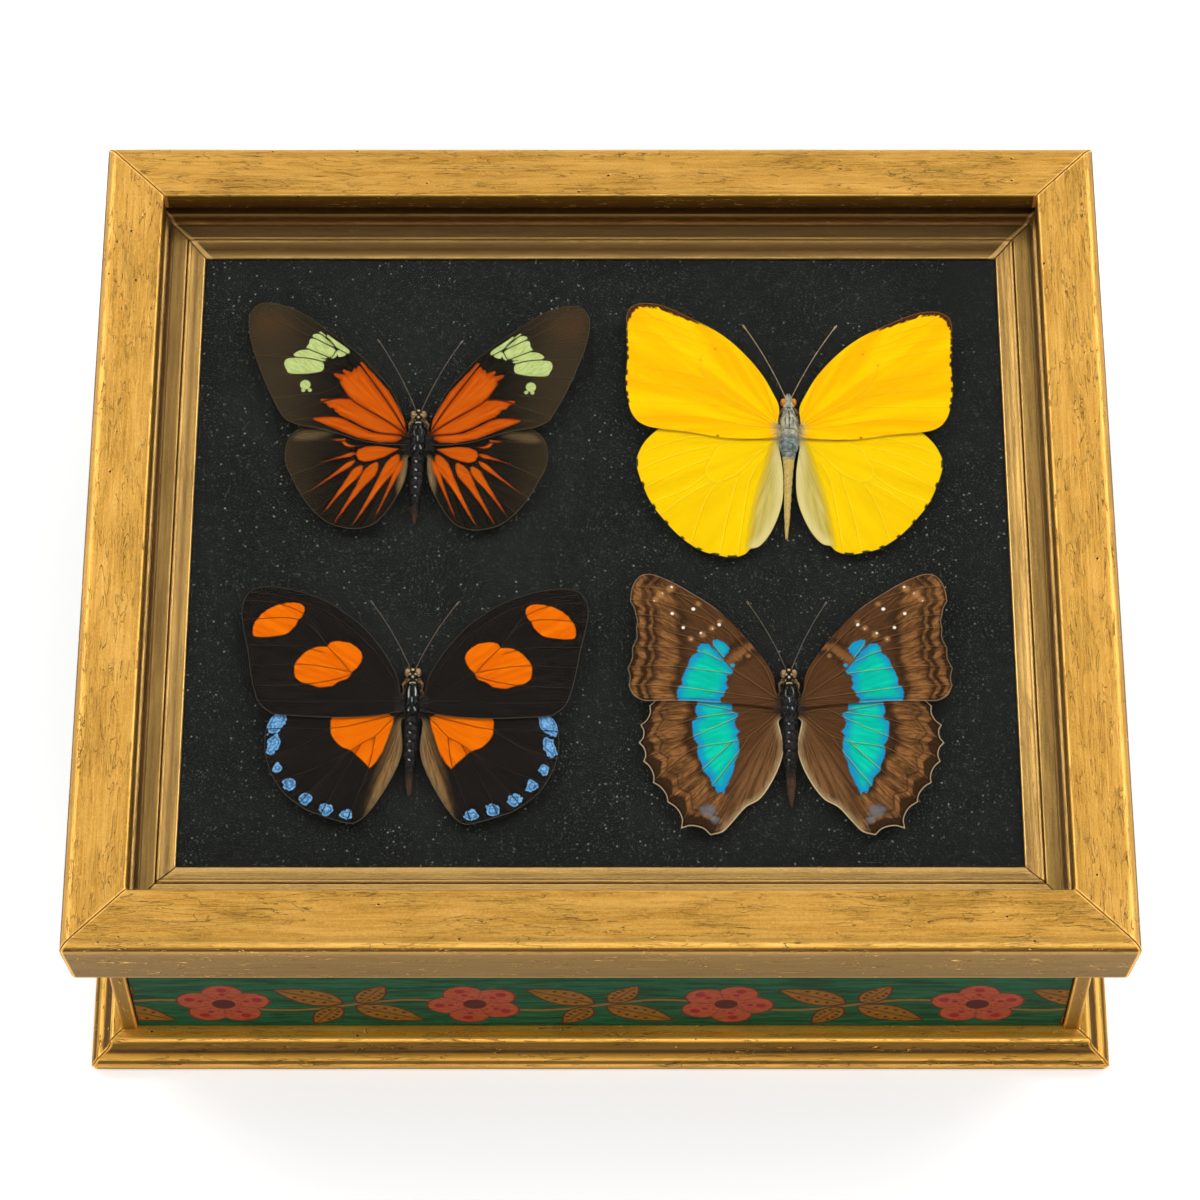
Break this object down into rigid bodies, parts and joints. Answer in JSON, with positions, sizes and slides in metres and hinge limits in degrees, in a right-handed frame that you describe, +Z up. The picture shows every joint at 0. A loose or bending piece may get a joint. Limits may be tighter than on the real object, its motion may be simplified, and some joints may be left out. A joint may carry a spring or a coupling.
{
  "type": "butterfly shadow box",
  "caption": "Shallow rectangular display box with a gilt moulded lid, glass pane, painted body and stepped plinth, holding spread butterflies on a dark board.",
  "frame": {"origin": "middle of the footprint, on the surface the box stands on", "axes": "+Z up, through the glass; -Y is the decorated front; +X to the right seen from the front"},
  "size_m": [0.23, 0.2032, 0.0707],
  "materials": {
    "gilt": "worn gold leaf on wood, fine grain, small dents and pits, satin",
    "liner_gilt": "dull bronze-gold, satin",
    "glass": "clear polished sheet",
    "black_board": "matt near-black card with fine pale lint",
    "green_paint": "brushed dark green paint on wood with a painted leaf and blossom pattern on the front, satin varnish",
    "bare_wood": "plain planed softwood",
    "rayed_scales": "black-brown wing scales with orange rays and pale green patches",
    "yellow_scales": "golden and lemon yellow wing scales",
    "spotted_scales": "black-brown wing scales with orange patches and light blue spots",
    "banded_scales": "brown wing scales with a turquoise band"
  },
  "bodies": {
    "root": {"lid_rail_front": "gilt", "lid_rail_back": "gilt", "lid_rail_left": "gilt", "lid_rail_right": "gilt", "glass_pane": "glass", "liner_front": "liner_gilt", "liner_back": "liner_gilt", "liner_left": "liner_gilt", "liner_right": "liner_gilt", "backing_board": "black_board", "corner_post_front_left": "gilt", "corner_post_front_right": "gilt", "corner_post_back_left": "gilt", "corner_post_back_right": "gilt", "wall_front": "green_paint", "wall_back": "green_paint", "wall_left": "green_paint", "wall_right": "green_paint", "plinth_front": "gilt", "plinth_back": "gilt", "plinth_left": "gilt", "plinth_right": "gilt", "base_board": "bare_wood", "rayed_butterfly": "rayed_scales", "yellow_butterfly": "yellow_scales", "spotted_butterfly": "spotted_scales", "banded_butterfly": "banded_scales"}
  },
  "joints": []
}
